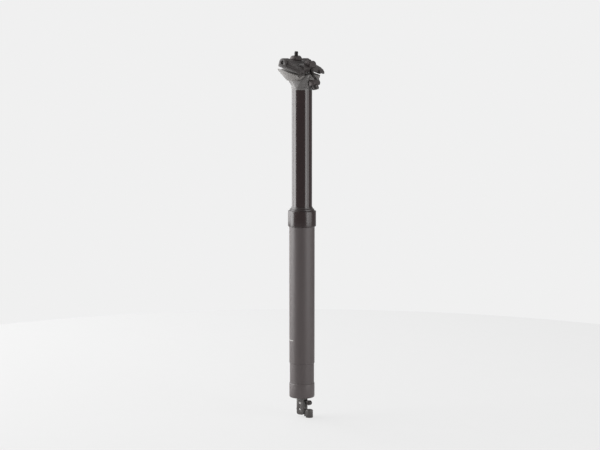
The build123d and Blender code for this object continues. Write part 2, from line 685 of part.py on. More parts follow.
def wing_face():
    """A wing of the upper clamp from the side: high round lobe behind, thin lip in front."""
    plate = outline([
        (-WING_REAR + EXTRA, UPPER_FOOT), (WING_FRONT - EXTRA, UPPER_FOOT), (WING_FRONT, UPPER_FOOT + EXTRA),
        (WING_FRONT - 2 * EXTRA, UPPER_FOOT + WING_LIP),
        (WING_FRONT - WING_SHOULDER_INSET, UPPER_FOOT + WING_SHOULDER), (0, UPPER_FOOT + WING_CREST),
        (-LOBE_X, LOBE_Z + LOBE_R), (-WING_REAR, LOBE_Z), (-WING_REAR, UPPER_FOOT + EXTRA),
    ])
    return plate + Pos(-LOBE_X, LOBE_Z) * Circle(LOBE_R)


def make_wing(side):
    """A wing over one rail, with two steps down its outer face and a dimple in its lobe."""
    half = CLAMP_WIDTH / 2
    inner = BRIDGE_WIDTH / 2
    wing = slab(wing_face(), min(side * inner, side * half), max(side * inner, side * half))
    for step in (1, 2):
        floor = UPPER_FOOT + step * RIDGE_HEIGHT + EXTRA
        edge = half - step * RIDGE_STEP
        near, far = min(side * edge, side * (half + EXTRA)), max(side * edge, side * (half + EXTRA))
        cut = block(-LOBE_X + LOBE_R, 2 * CRADLE_R, near, far, floor, 2 * CRADLE_R)
        wing = wing - cut
    inward = half - LOBE_DIMPLE_DEPTH
    dimple = rod_y(LOBE_DIMPLE_R, min(side * inward, side * (half + EXTRA)),
                   max(side * inward, side * (half + EXTRA)), -LOBE_X, LOBE_Z)
    return wing - dimple


def make_bridge():
    """The bridge between the wings, with raised blocks that the barrel nuts lie in."""
    top = NUT_RISE - NUT_R + BRIDGE_RISE
    foot = UPPER_FOOT + BRIDGE_RISE
    raised = top + SADDLE_RISE
    face = outline([
        (-WING_REAR, foot), (WING_FRONT - BRIDGE_FRONT_INSET, foot),
        (WING_FRONT - BRIDGE_NOSE_INSET, raised - SADDLE_FRONT_FALL), (NUT_ARM + SADDLE_FRONT_SPARE, raised),
        (NUT_ARM - SADDLE_BLOCK, raised), (NUT_ARM - SADDLE_BLOCK - 1, top), (-NUT_ARM + SADDLE_BLOCK + 1, top),
        (-NUT_ARM + SADDLE_BLOCK, raised + SADDLE_RISE), (-WING_REAR + BRIDGE_REAR_INSET, raised + SADDLE_RISE),
        (-WING_REAR, raised - EXTRA),
    ])
    return slab(face, -BRIDGE_WIDTH / 2, BRIDGE_WIDTH / 2)


def make_upper_clamp():
    """The upper clamp: bridge and two wings, grooved for the rails and slotted for the bolts."""
    clamp = make_bridge() + make_wing(1) + make_wing(-1)
    clamp = clamp - rail_grooves()
    for side in (1, -1):
        seat = NUT_LENGTH / 2 + FREE
        clamp = clamp - rod_y(NUT_R + RUN, -seat, seat, side * NUT_ARM, NUT_RISE)
        spare = front_or_rear(side, FRONT_SLOT_SPARE, REAR_SLOT_SPARE)
        inner, outer = side * (NUT_ARM - CLAMP_SLOT / 2 - spare), side * 2 * CRADLE_R
        clamp = clamp - block(min(inner, outer), max(inner, outer), -CLAMP_SLOT / 2, CLAMP_SLOT / 2,
                              -2 * CRADLE_R, 2 * CRADLE_R)
    return CLAMP * clamp


def make_jam_nut():
    """The thin hexagon nut that locks the actuator's bracket at its angle."""
    return hexagon_prism(JAM_FLATS, BRACKET_TOP, JAM_TOP) - rod_z(ROD_R, BRACKET_TOP - EXTRA, JAM_TOP + EXTRA)


def make_bracket():
    """The actuator's bracket: a hollow stud on top and two side plates."""
    body = block(-BRACKET_REAR, BRACKET_FRONT, -BRACKET_WIDTH / 2, BRACKET_WIDTH / 2, BRACKET_BOTTOM, BRACKET_TOP)
    body = fillet(body.edges().filter_by(Axis.Y).group_by(Axis.Z)[0], BRACKET_ROUND)
    slot = BRACKET_SLOT / 2
    body = body - block(-2 * BRACKET_REAR, 2 * BRACKET_FRONT, -slot, slot, BRACKET_BOTTOM - EXTRA,
                        BRACKET_TOP - BRACKET_ROOF)
    body = body + rod_z(ROD_R, BRACKET_TOP, STUD_TOP)
    body = body - rod_z(ROD_BORE_R, BRACKET_TOP - BRACKET_ROOF - EXTRA, STUD_TOP + EXTRA)
    body = body - rod_y(PIVOT_R, -BRACKET_WIDTH, BRACKET_WIDTH, 0, PIVOT_Z)
    return body - rod_y(STOP_PIN_R, -BRACKET_WIDTH, BRACKET_WIDTH, 0, STOP_PIN_Z)


def make_cross_pin(radius, z):
    """A pin through the bracket, a little proud of both sides, with broken edges."""
    half = BRACKET_WIDTH / 2 + PIN_PROUD
    pin = rod_y(radius, -half, half, 0, z)
    return chamfer(pin.edges().filter_by(GeomType.CIRCLE), PIN_CHAMFER)


def cam_face():
    """The cam over the lever's hub: the round foot of the valve pin rises evenly as the lever turns."""
    centre_r = CAM_R + RUN + VALVE_PIN_R
    rise = VALVE_LIFT / math.radians(LEVER_TURN)
    points = []
    for degrees in range(-10, int(LEVER_TURN) + 11, 5):
        turn = math.radians(degrees)
        spiral = centre_r + rise * max(turn, 0.0)
        slope = rise if turn >= 0 else 0.0
        length = math.hypot(spiral, slope)
        radial = spiral - (VALVE_PIN_R + RUN) * spiral / length
        tangent = (VALVE_PIN_R + RUN) * slope / length
        behind, up = math.sin(turn), math.cos(turn)
        points.append((-(radial * behind + tangent * up), radial * up - tangent * behind))
    edge = Spline(*points)
    return make_face([edge, Line(points[-1], (0, -1)), Line((0, -1), points[0])])


def make_lever():
    """The lever: hub with its cam, raised arm, and the forked eye that holds the cable's barrel."""
    face = cam_face() + Circle(CAM_R) + Pos(0.4, -0.9) * Circle(HUB_R - 0.6)
    arm = outline([
        (-0.4, -HUB_R), (1.6, -HUB_R + 0.9), (2.2, ARM_UNDERSIDE - 1.0), (2.6, ARM_UNDERSIDE),
        (EYE_REACH - EYE_R - 0.6, ARM_UNDERSIDE), (EYE_REACH - EYE_R + 0.9, EYE_RISE - 1.6), (EYE_REACH, EYE_RISE),
        (EYE_REACH - 0.6, EYE_RISE + EYE_R - 0.15), (EYE_REACH - EYE_R - 0.6, ARM_TOP - 0.1), (3.6, ARM_TOP - 0.3),
        (2.3, ARM_TOP - 1.4), (1.6, 1.2), (0, 0),
    ])
    face = face + arm + Pos(EYE_REACH, EYE_RISE) * Circle(EYE_R)
    lever = slab(Pos(0, PIVOT_Z) * face, -LEVER_WIDTH / 2, LEVER_WIDTH / 2)
    lever = lever - rod_y(PIVOT_R + RUN, -LEVER_WIDTH, LEVER_WIDTH, 0, PIVOT_Z)
    lever = lever - rod_y(BARREL_R + RUN, -LEVER_WIDTH, LEVER_WIDTH, EYE_REACH, PIVOT_Z + EYE_RISE)
    fork = block(EYE_REACH - EYE_R + 0.4, EYE_REACH + 2 * EYE_R, -CABLE_SLOT / 2, CABLE_SLOT / 2,
                 PIVOT_Z - 2 * EYE_R, PIVOT_Z + 3 * EYE_R)
    return lever - fork


def make_cable_barrel():
    """The barrel that the cable passes through, tapped from one end for its pinch screw."""
    half = BARREL_LENGTH / 2
    z = PIVOT_Z + EYE_RISE
    barrel = rod_y(BARREL_R, -half, half, EYE_REACH, z)
    barrel = barrel - rod_z(CABLE_HOLE_R, z - 2 * BARREL_R, z + 2 * BARREL_R, x=EYE_REACH)
    return barrel - rod_y(PINCH_R, -half - EXTRA, -half + PINCH_LENGTH, EYE_REACH, z)


def make_pinch_screw():
    """The socket grub screw that grips the cable."""
    half = BARREL_LENGTH / 2
    screw = rod_z(PINCH_R, -PINCH_LENGTH / 2, PINCH_LENGTH / 2)
    screw = screw - hexagon_prism(PINCH_FLATS, 0, PINCH_LENGTH)
    return Pos(EYE_REACH, -half + PINCH_LENGTH / 2, PIVOT_Z + EYE_RISE) * Rot(90, 0, 0) * screw


def make_housing_stop():
    """The stop for the cable's housing: a tongue between the side plates, a neck and a bored boss."""
    half = BRACKET_SLOT / 2 - RUN
    foot = BRACKET_BOTTOM + EXTRA / 2
    tongue = block(-BRACKET_REAR + EXTRA / 2, BRACKET_FRONT, -half, half, foot, CAP_BOTTOM - TONGUE_TOP)
    tongue = tongue - block(SPRING_SEAT_X, BRACKET_FRONT + EXTRA, -BRACKET_SLOT, BRACKET_SLOT,
                            CAP_BOTTOM - SPRING_SEAT_DROP, CAP_BOTTOM)
    neck = block(BRACKET_FRONT, EYE_REACH, -STOP_NECK_WIDTH / 2, STOP_NECK_WIDTH / 2,
                 CAP_BOTTOM - STOP_NECK_FOOT, CAP_BOTTOM - STOP_NECK_TOP)
    boss_top = CAP_BOTTOM - STOP_BOSS_TOP
    boss_foot = boss_top - STOP_BOSS_HEIGHT
    boss = rod_z(STOP_BOSS_R, boss_foot, boss_top, x=EYE_REACH)
    boss = fillet(boss.edges().filter_by(GeomType.CIRCLE).group_by(Axis.Z)[-1], STOP_BOSS_ROUND)
    stop = tongue + neck + boss
    stop = stop - rod_z(FERRULE_R, boss_foot - EXTRA, boss_foot + FERRULE_DEPTH, x=EYE_REACH)
    stop = stop - rod_z(CABLE_WAY_R, boss_foot, boss_top + EXTRA, x=EYE_REACH)
    stop = stop - rod_y(STOP_PIN_R, -BRACKET_WIDTH, BRACKET_WIDTH, 0, STOP_PIN_Z)
    return stop - rod_x(LOCK_SCREW_R, -2 * BRACKET_REAR, -STOP_PIN_R, 0, STOP_PIN_Z)


def make_lock_screw():
    """The button-head screw behind the bracket that holds the stop's tongue and its pin."""
    tip = -STOP_PIN_R - FREE
    screw = rod_x(LOCK_SCREW_R, -BRACKET_REAR, tip, 0, STOP_PIN_Z)
    head = rod_z(LOCK_SCREW_HEAD_R, 0, LOCK_SCREW_HEAD)
    head = fillet(head.edges().filter_by(GeomType.CIRCLE).group_by(Axis.Z)[-1], LOCK_SCREW_HEAD / 2)
    head = head - hexagon_prism(LOCK_SCREW_FLATS, LOCK_SCREW_HEAD / 2, LOCK_SCREW_HEAD + EXTRA)
    return screw + Pos(-BRACKET_REAR, 0, STOP_PIN_Z) * Rot(0, -90, 0) * head


def biarc(start, start_way, end, end_way):
    """Two tangent arcs from one point and direction to another."""
    chord = end - start
    both = start_way + end_way
    bend = 2 * (1 - start_way.dot(end_way))
    along = chord.dot(both)
    reach = (math.sqrt(along ** 2 + bend * chord.dot(chord)) - along) / bend
    reach = reach if reach > 0 else chord.length / 4
    joint = (start + end + (start_way - end_way) * reach) / 2
    middle_way = (joint - (start + start_way * reach)).normalized()
    return [TangentArc(start, joint, tangent=start_way), TangentArc(joint, end, tangent=middle_way)]


def spring_point(turns, height, rise_per_turn):
    """A point on the spring's helix and the wire's direction there."""
    angle = 2 * math.pi * turns
    point = Vector(SPRING_MEAN_R * math.cos(angle), SPRING_MEAN_R * math.sin(angle), height)
    way = Vector(-math.sin(angle), math.cos(angle), rise_per_turn / (2 * math.pi * SPRING_MEAN_R))
    return point, way.normalized()


def make_return_spring():
    """The wound spring that holds the lever up: quarter turns, ends turned upright for one wire width."""
    low = CAP_BOTTOM - SPRING_SEAT_DROP
    high = PIVOT_Z + ARM_UNDERSIDE
    wire = 2 * SPRING_WIRE_R
    tail = 3 * wire
    pitch = (high - low - 2 * tail) / SPRING_TURNS
    lead = SPRING_TAIL_TURN / 360
    stops = [low + tail + pitch * i / 4 for i in range(4 * SPRING_TURNS + 1)]
    knots = [spring_point(i / 4, z, pitch) for i, z in enumerate(stops)]
    up = Vector(0, 0, 1)
    first, _ = spring_point(-lead, low + wire, pitch)
    last, _ = spring_point(SPRING_TURNS + lead, high - wire, pitch)
    path = [Line(first - up * wire, first)]
    path += biarc(first, up, *knots[0])
    for here, there in zip(knots, knots[1:]):
        path += biarc(*here, *there)
    path += biarc(*knots[-1], last, up)
    path.append(Line(last, last + up * wire))
    line = Wire(path)
    print_least_gap(line, wire)
    profile = Plane(origin=first - up * wire, z_dir=up) * Circle(SPRING_WIRE_R)
    return Pos(SPRING_X, 0, 0) * sweep(profile, path=line)


def print_least_gap(line, wire):
    """Prints the least gap between stretches of the wire that aren't neighbours."""
    count = 400
    points = [line.position_at(i / count) for i in range(count + 1)]
    step = line.length / count
    apart = int(math.ceil(3 * wire / step))
    least = min((points[i] - points[j]).length
                for i in range(count + 1) for j in range(i + apart, count + 1))
    print("return spring: least gap to itself", round(least - wire, 3), "mm")


NODES = {
    "lower_tube": make_lower_tube,
    "seal_collar": make_seal_collar,
    "wiper_seal": make_wiper_seal,
    "foam_ring": make_foam_ring,
    "upper_bush": make_upper_bush,
    "topout_ring": make_topout_ring,
    "base_cap": make_base_cap,
    "bottom_bumper": make_bottom_bumper,
    "gas_rod": make_rod,
    "gas_piston": make_piston,
    "gas_piston_seal": lambda: make_piston_seal(PISTON_BOTTOM, PISTON_TOP),
    "actuator_jam_nut": make_jam_nut,
    "actuator_bracket": make_bracket,
    "lever_pivot_pin": lambda: make_cross_pin(PIVOT_R, PIVOT_Z),
    "housing_stop": make_housing_stop,
    "stop_pin": lambda: make_cross_pin(STOP_PIN_R, STOP_PIN_Z),
    "stop_lock_screw": make_lock_screw,
    "lever_return_spring": make_return_spring,
    "stanchion": make_stanchion,
    "post_head": make_post_head,
    "anti_rotation_keys": make_keys,
    "lower_guide_ring": make_guide_ring,
    "cartridge_retaining_nut": make_retaining_nut,
    "gas_cylinder": lambda: ring(CYLINDER_R, CYLINDER_BORE_R, CYLINDER_BOTTOM, CYLINDER_TOP),
    "rod_gland": make_gland,
    "rod_seal": make_rod_seal,
    "cylinder_plug": make_cylinder_plug,
    "gas_fill_valve": make_fill_valve,
    "valve_pin": make_valve_pin,
    "floating_piston": make_floating_piston,
    "floating_piston_seal": lambda: make_piston_seal(FLOATER_BOTTOM, FLOATER_BOTTOM + FLOATER_LENGTH),
    "lower_cradle": make_lower_cradle,
    "upper_clamp": make_upper_clamp,
    "front_bolt": lambda: make_bolt(1),
    "front_barrel_washer": lambda: make_barrel_washer(1),
    "front_barrel_nut": lambda: make_barrel_nut(1),
    "rear_bolt": lambda: make_bolt(-1),
    "rear_barrel_washer": lambda: make_barrel_washer(-1),
    "rear_barrel_nut": lambda: make_barrel_nut(-1),
    "actuator_lever": make_lever,
    "cable_barrel": make_cable_barrel,
    "cable_pinch_screw": make_pinch_screw,
}

os.makedirs("parts", exist_ok=True)
for name, make in NODES.items():
    export_step(make(), f"parts/{name}.step")
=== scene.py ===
"""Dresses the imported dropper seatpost: finishes, fine detail, plain studio and camera."""

import logging
import math
from dataclasses import dataclass, field
from enum import Enum
from typing import Any, Iterable, Mapping, Optional, Sequence, Union

import bmesh
import bpy
from mathutils import Matrix, Vector

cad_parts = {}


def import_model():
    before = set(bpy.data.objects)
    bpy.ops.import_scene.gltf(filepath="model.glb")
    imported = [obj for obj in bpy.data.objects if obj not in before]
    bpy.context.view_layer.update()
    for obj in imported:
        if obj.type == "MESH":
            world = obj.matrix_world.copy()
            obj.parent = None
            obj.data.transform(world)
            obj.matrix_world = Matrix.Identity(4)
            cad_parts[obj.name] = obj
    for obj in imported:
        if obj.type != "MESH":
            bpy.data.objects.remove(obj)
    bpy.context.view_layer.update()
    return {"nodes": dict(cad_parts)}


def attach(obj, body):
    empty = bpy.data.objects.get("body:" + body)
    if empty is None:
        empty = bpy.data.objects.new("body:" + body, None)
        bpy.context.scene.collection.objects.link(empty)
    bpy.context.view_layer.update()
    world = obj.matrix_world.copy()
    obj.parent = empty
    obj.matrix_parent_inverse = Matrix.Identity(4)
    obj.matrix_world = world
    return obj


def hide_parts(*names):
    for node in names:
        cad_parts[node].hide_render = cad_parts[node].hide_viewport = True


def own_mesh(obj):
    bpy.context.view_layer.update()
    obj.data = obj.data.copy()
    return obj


LOG = logging.getLogger("seatpost")
MM = 0.001
WELD_DISTANCE = 0.002 * MM
FLAT_ANGLE = math.radians(0.6)
EDGE_ANGLE = math.radians(38.0)
SHARP_ANGLE = math.radians(32.0)
Colour = tuple[float, float, float]


class Axis(Enum):
    """Which way a turned, ground or brushed surface runs."""

    X = 0
    Y = 1
    Z = 2


class Value:
    """A shader or geometry socket that takes part in Python arithmetic."""

    def __init__(self, graph: "Graph", socket: Any) -> None:
        """Wraps a socket.

        Args:
            graph: The node graph that owns the socket.
            socket: The output socket.
        """
        self.graph = graph
        self.socket = socket

    def _math(self, operation: str, *values: Any) -> "Value":
        """Adds a Math node.

        Args:
            operation: The Math node's operation.
            *values: Its inputs, in order.

        Returns:
            The node's result.
        """
        return self.graph.node("ShaderNodeMath", {"operation": operation}, list(values))

    def __add__(self, other: Any) -> "Value":
        """Sum."""
        return self._math("ADD", self, other)

    def __radd__(self, other: Any) -> "Value":
        """Sum with a number on the left."""
        return self._math("ADD", other, self)

    def __sub__(self, other: Any) -> "Value":
        """Difference."""
        return self._math("SUBTRACT", self, other)

    def __rsub__(self, other: Any) -> "Value":
        """Difference from a number on the left."""
        return self._math("SUBTRACT", other, self)

    def __mul__(self, other: Any) -> "Value":
        """Product."""
        return self._math("MULTIPLY", self, other)

    def __rmul__(self, other: Any) -> "Value":
        """Product with a number on the left."""
        return self._math("MULTIPLY", other, self)

    def __truediv__(self, other: Any) -> "Value":
        """Quotient."""
        return self._math("DIVIDE", self, other)

    def __lt__(self, other: Any) -> "Value":
        """1 where this is the smaller."""
        return self._math("LESS_THAN", self, other)

    def __abs__(self) -> "Value":
        """Size without the sign."""
        return self._math("ABSOLUTE", self)

    def wave(self) -> "Value":
        """Sine."""
        return self._math("SINE", self)

    def cosine(self) -> "Value":
        """Cosine."""
        return self._math("COSINE", self)

    def zigzag(self, top: float) -> "Value":
        """Runs up to top and back down to 0, over and over."""
        return self._math("PINGPONG", self, top)


class Graph:
    """A node tree with one method that adds any node."""

    MIX_FACTOR, MIX_FIRST, MIX_SECOND, MIX_RESULT = 0, 6, 7, 2

    def __init__(self, tree: Any) -> None:
        """Wraps a node tree.

        Args:
            tree: The shader or geometry node tree.
        """
        self.tree = tree

    def feed(self, socket: Any, value: Any) -> None:
        """Sets or links one input.

        Args:
            socket: The input socket.
            value: A Value to link, or a plain value to set.
        """
        if isinstance(value, Value):
            self.tree.links.new(value.socket, socket)
        elif value is not None:
            socket.default_value = value

    def node(self, kind: str, settings: Optional[Mapping[str, Any]] = None,
             values: Union[Mapping[Any, Any], Sequence[Any], None] = None, out: Any = 0) -> Value:
        """Adds a node, sets it and feeds its inputs.

        Args:
            kind: The node's type name.
            settings: Its properties, such as a Math node's operation.
            values: Its inputs, by name or place.
            out: Which output to return, by name or place.

        Returns:
            The chosen output.
        """
        made = self.tree.nodes.new(kind)
        for name, setting in (settings or {}).items():
            setattr(made, name, setting)
        pairs = values.items() if isinstance(values, Mapping) else enumerate(values or ())
        for key, value in pairs:
            self.feed(made.inputs[key], value)
        return Value(self, made.outputs[out] if len(made.outputs) else None)

    def point(self) -> Value:
        """The surface point in the object's own metres."""
        return self.node("ShaderNodeTexCoord", out="Object")

    def split(self, vector: Value) -> tuple[Value, Value, Value]:
        """A vector's X, Y and Z.

        Args:
            vector: The vector.

        Returns:
            Its three parts.
        """
        first = self.node("ShaderNodeSeparateXYZ", values=[vector])
        outputs = first.socket.node.outputs
        return first, Value(self, outputs[1]), Value(self, outputs[2])

    def stretch(self, vector: Value, scale: Sequence[float]) -> Value:
        """A vector scaled by a different number each way.

        Args:
            vector: The vector.
            scale: The three factors.

        Returns:
            The scaled vector.
        """
        return self.node("ShaderNodeVectorMath", {"operation": "MULTIPLY"}, [vector, tuple(scale)])

    def noise(self, vector: Value, scale: float, detail: float = 2.0, roughness: float = 0.5) -> Value:
        """A soft random pattern, about 0.5 on average.

        Args:
            vector: Where to read it.
            scale: How many blotches to a metre.
            detail: How many finer layers.
            roughness: How strong the finer layers are.

        Returns:
            The pattern.
        """
        return self.node("ShaderNodeTexNoise", None, {
            "Vector": vector, "Scale": scale, "Detail": detail, "Roughness": roughness})

    def mix(self, amount: Value, first: Any, second: Any) -> Value:
        """Mixes two colours.

        Args:
            amount: The share of the second colour.
            first: The colour at 0, plain or linked.
            second: The colour at 1, plain or linked.

        Returns:
            The mixed colour.
        """
        return self.node("ShaderNodeMix", {"data_type": "RGBA"}, {
            self.MIX_FACTOR: amount, self.MIX_FIRST: first, self.MIX_SECOND: second}, out=self.MIX_RESULT)

    def tint(self, amount: Value, low: Colour, high: Colour) -> Value:
        """A colour between two, by an amount from 0 to 1.

        Args:
            amount: The share of the second colour.
            low: The colour at 0.
            high: The colour at 1.

        Returns:
            The mixed colour.
        """
        return self.mix(amount, (*low, 1.0), (*high, 1.0))

    def over(self, amount: Value, below: Value, above: Colour) -> Value:
        """Lays one plain colour over another by a mask.

        Args:
            amount: The mask.
            below: The colour beneath.
            above: The colour on top.

        Returns:
            The mixed colour.
        """
        return self.mix(amount, below, (*above, 1.0))

    def bump(self, height: Value, depth: float) -> Value:
        """A normal from a height pattern.

        Args:
            height: The pattern.
            depth: Its depth in metres.

        Returns:
            The bent normal.
        """
        return self.node("ShaderNodeBump", None, {"Strength": 1.0, "Distance": depth, "Height": height})


@dataclass(frozen=True)
class Finish:
    """What all finishes share."""

    name: str
    colour: Colour
    roughness: float = 0.5
    metallic: float = 0.0
    specular: float = 0.5
    variation: float = 0.12

    def shades(self) -> tuple[Colour, Colour]:
        """The finish's darkest and lightest colour."""
        low, high = 1.0 - self.variation, 1.0 + self.variation
        return (tuple(c * low for c in self.colour), tuple(min(c * high, 1.0) for c in self.colour))

    def surface(self, graph: Graph) -> dict[str, Any]:
        """The shader inputs that change over the surface, which each finish gives.

        Args:
            graph: The material's graph.

        Returns:
            Inputs by name.
        """
        raise NotImplementedError

    def material(self) -> bpy.types.Material:
        """The finished material, made once.

        Returns:
            The material.
        """
        known = bpy.data.materials.get("finish_" + self.name)
        if known:
            return known
        made = bpy.data.materials.new("finish_" + self.name)
        made.use_nodes = True
        made.node_tree.nodes.clear()
        graph = Graph(made.node_tree)
        values: dict[str, Any] = {"Base Color": (*self.colour, 1.0), "Roughness": self.roughness,
                                  "Metallic": self.metallic, "Specular IOR Level": self.specular}
        values.update(self.surface(graph))
        shader = graph.node("ShaderNodeBsdfPrincipled", None, values)
        graph.node("ShaderNodeOutputMaterial", None, {"Surface": shader})
        made.diffuse_color = (*self.colour, 1.0)
        return made


@dataclass(frozen=True)
class GlossAnodised(Finish):
    """Polished dark anodising with faint grinding rings and wiped smears."""

    ring_pitch: float = 0.35 * MM
    ring_scale: tuple[float, float, float] = (18.0, 18.0, 2200.0)
    ring_gloss: float = 0.05
    smear_scale: tuple[float, float, float] = (70.0, 70.0, 22.0)
    smear_gloss: float = 0.09
    depth: float = 0.0003 * MM

    def surface(self, graph: Graph) -> dict[str, Any]:
        """Fine rings, smears and a slight change of tone.

        Args:
            graph: The material's graph.

        Returns:
            Inputs by name.
        """
        point = graph.point()
        _, _, height = graph.split(point)
        rings = graph.noise(graph.stretch(point, self.ring_scale), 1.0, 3.0, 0.6)
        lines = (height * (math.tau / self.ring_pitch)).wave() * 0.5 + 0.5
        smear = graph.noise(graph.stretch(point, self.smear_scale), 1.0, 4.0, 0.6)
        rough = self.roughness + (smear - 0.5) * self.smear_gloss + (rings - 0.5) * self.ring_gloss
        return {"Base Color": graph.tint(smear, *self.shades()), "Roughness": rough,
                "Normal": graph.bump(rings * 0.7 + lines * 0.3, self.depth)}


@dataclass(frozen=True)
class BlastedAnodised(Finish):
    """Bead-blasted dark anodising, with a pale line at the least insertion depth."""

    grain: float = 5200.0
    grain_gloss: float = 0.10
    depth: float = 0.016 * MM
    rub_scale: tuple[float, float, float] = (90.0, 90.0, 16.0)
    rub_gloss: float = 0.16
    mark_height: float = -142.0 * MM
    mark_width: float = 0.9 * MM
    mark_edge: float = -2.9 * MM
    mark_colour: Colour = (0.42, 0.42, 0.40)

    def surface(self, graph: Graph) -> dict[str, Any]:
        """Grain, rubbed patches and the line.

        Args:
            graph: The material's graph.

        Returns:
            Inputs by name.
        """
        point = graph.point()
        x, _, z = graph.split(point)
        grain = graph.noise(point, self.grain, 2.0, 0.6)
        rubbed = graph.noise(graph.stretch(point, self.rub_scale), 1.0, 4.0, 0.62)
        mark = (abs(z - self.mark_height) < self.mark_width / 2) * (x < self.mark_edge)
        tone = rubbed * 0.6 + grain * 0.4
        rough = self.roughness + (rubbed - 0.5) * self.rub_gloss + (grain - 0.5) * self.grain_gloss
        return {"Base Color": graph.over(mark, graph.tint(tone, *self.shades()), self.mark_colour),
                "Roughness": rough,
                "Normal": graph.bump(grain, self.depth)}


@dataclass(frozen=True)
class ForgedPaint(Finish):
    """A forging's or casting's matte skin: fine grain over slow waves."""

    grain: float = 3600.0
    grain_gloss: float = 0.12
    wave_scale: float = 260.0
    wave_gloss: float = 0.2
    depth: float = 0.01 * MM

    def surface(self, graph: Graph) -> dict[str, Any]:
        """Grain, waves and rubbed patches.

        Args:
            graph: The material's graph.

        Returns:
            Inputs by name.
        """
        point = graph.point()
        grain = graph.noise(point, self.grain, 3.0, 0.55)
        waves = graph.noise(point, self.wave_scale, 2.0)
        tone = grain * 0.45 + waves * 0.55
        rough = self.roughness + (waves - 0.5) * self.wave_gloss + (grain - 0.5) * self.grain_gloss
        return {"Base Color": graph.tint(tone, *self.shades()), "Roughness": rough,
                "Normal": graph.bump(tone, self.depth)}


@dataclass(frozen=True)
class TurnedMetal(Finish):
    """Metal with tool marks that run round one axis."""

    axis: Axis = Axis.Z
    pitch: float = 0.12 * MM
    mark_gloss: float = 0.06
    jitter_scale: float = 900.0
    jitter: float = 3.0
    tarnish_scale: float = 210.0
    tarnish_gloss: float = 0.22
    depth: float = 0.004 * MM

    def surface(self, graph: Graph) -> dict[str, Any]:
        """Tool marks, a little tarnish and worn gloss.

        Args:
            graph: The material's graph.

        Returns:
            Inputs by name.
        """
        point = graph.point()
        along = graph.split(point)[self.axis.value]
        shake = graph.noise(point, self.jitter_scale, 2.0)
        marks = (along * (math.tau / self.pitch) + shake * self.jitter).wave() * 0.5 + 0.5
        tarnish = graph.noise(point, self.tarnish_scale, 4.0, 0.65)
        rough = self.roughness + (tarnish - 0.5) * self.tarnish_gloss + (marks - 0.5) * self.mark_gloss
        return {"Base Color": graph.tint(tarnish, *self.shades()), "Roughness": rough,
                "Normal": graph.bump(marks, self.depth)}


@dataclass(frozen=True)
class Rubber(Finish):
    """Moulded rubber with a powdery bloom."""

    grain: float = 2600.0
    bloom_scale: float = 180.0
    bloom_gloss: float = 0.2
    depth: float = 0.012 * MM

    def surface(self, graph: Graph) -> dict[str, Any]:
        """Bloom and moulded grain.

        Args:
            graph: The material's graph.

        Returns:
            Inputs by name.
        """
        point = graph.point()
        bloom = graph.noise(point, self.bloom_scale, 5.0, 0.7)
        grain = graph.noise(point, self.grain, 2.0)
        return {"Base Color": graph.tint(bloom, *self.shades()),
                "Roughness": self.roughness + (bloom - 0.5) * self.bloom_gloss,
                "Normal": graph.bump(grain, self.depth)}


@dataclass(frozen=True)
class Foam(Finish):
    """Open-cell foam, with painted shade darkening its pores."""

    cells: float = 2400.0
    depth: float = 0.2 * MM

    def surface(self, graph: Graph) -> dict[str, Any]:
        """Round pores, with painted shade in them.

        Args:
            graph: The material's graph.

        Returns:
            Inputs by name.
        """
        pores = graph.node("ShaderNodeTexVoronoi", None, {"Vector": graph.point(), "Scale": self.cells})
        # painted shade: the base colour is darkest at the bottom of each pore
        return {"Base Color": graph.tint(pores, *self.shades()), "Normal": graph.bump(pores, self.depth)}


BLASTED_BLACK = BlastedAnodised("blasted_black", (0.073, 0.060, 0.060), 0.46, variation=0.12)
CAP_BLACK = BlastedAnodised("cap_black", (0.080, 0.066, 0.066), 0.44, variation=0.12, mark_width=0.0)
GLOSS_BLACK = GlossAnodised("gloss_black", (0.019, 0.009, 0.009), 0.17, variation=0.25, specular=0.6)
COLLAR_BLACK = GlossAnodised("collar_black", (0.019, 0.009, 0.009), 0.26, variation=0.25, specular=0.6)
FORGED_BLACK = ForgedPaint("forged_black", (0.125, 0.118, 0.115), 0.33, variation=0.08, depth=0.008 * MM)
CRADLE_GREY = ForgedPaint("cradle_grey", (0.20, 0.188, 0.18), 0.40, variation=0.09, depth=0.012 * MM)
CLAMP_BLACK = ForgedPaint("clamp_black", (0.047, 0.041, 0.040), 0.37, specular=0.38, variation=0.10,
                          grain=4400.0, depth=0.012 * MM)
SEAL_RUBBER = Rubber("seal_rubber", (0.022, 0.020, 0.020), 0.62, variation=0.3)
LIP_RUBBER = Rubber("lip_rubber", (0.024, 0.016, 0.016), 0.34, variation=0.3, specular=0.6)
OILED_FOAM = Foam("oiled_foam", (0.22, 0.18, 0.11), 0.85, variation=0.45)
BEARING_PLASTIC = Rubber("bearing_plastic", (0.55, 0.51, 0.42), 0.38, variation=0.06)
GROUND_STEEL = TurnedMetal("ground_steel", (0.56, 0.55, 0.54), 0.26, 1.0)
CROSS_PIN_STEEL = TurnedMetal("cross_pin_steel", (0.60, 0.59, 0.58), 0.24, 1.0, axis=Axis.Y)
BARE_ALUMINIUM = TurnedMetal("bare_aluminium", (0.66, 0.66, 0.67), 0.34, 1.0)
ZINC_STEEL = TurnedMetal("zinc_steel", (0.38, 0.37, 0.36), 0.38, 1.0)
ACTUATOR_GREY = ForgedPaint("actuator_grey", (0.085, 0.078, 0.076), 0.36, 0.3, variation=0.12)
BLACK_STEEL = TurnedMetal("black_steel", (0.045, 0.040, 0.039), 0.34, 0.5, variation=0.2)
BARREL_GREY = TurnedMetal("barrel_grey", (0.060, 0.050, 0.049), 0.36, 0.4, axis=Axis.Y, variation=0.15)
SPRING_STEEL = TurnedMetal("spring_steel", (0.42, 0.41, 0.40), 0.30, 1.0)
KEY_BRASS = TurnedMetal("key_brass", (0.62, 0.43, 0.17), 0.32, 1.0)

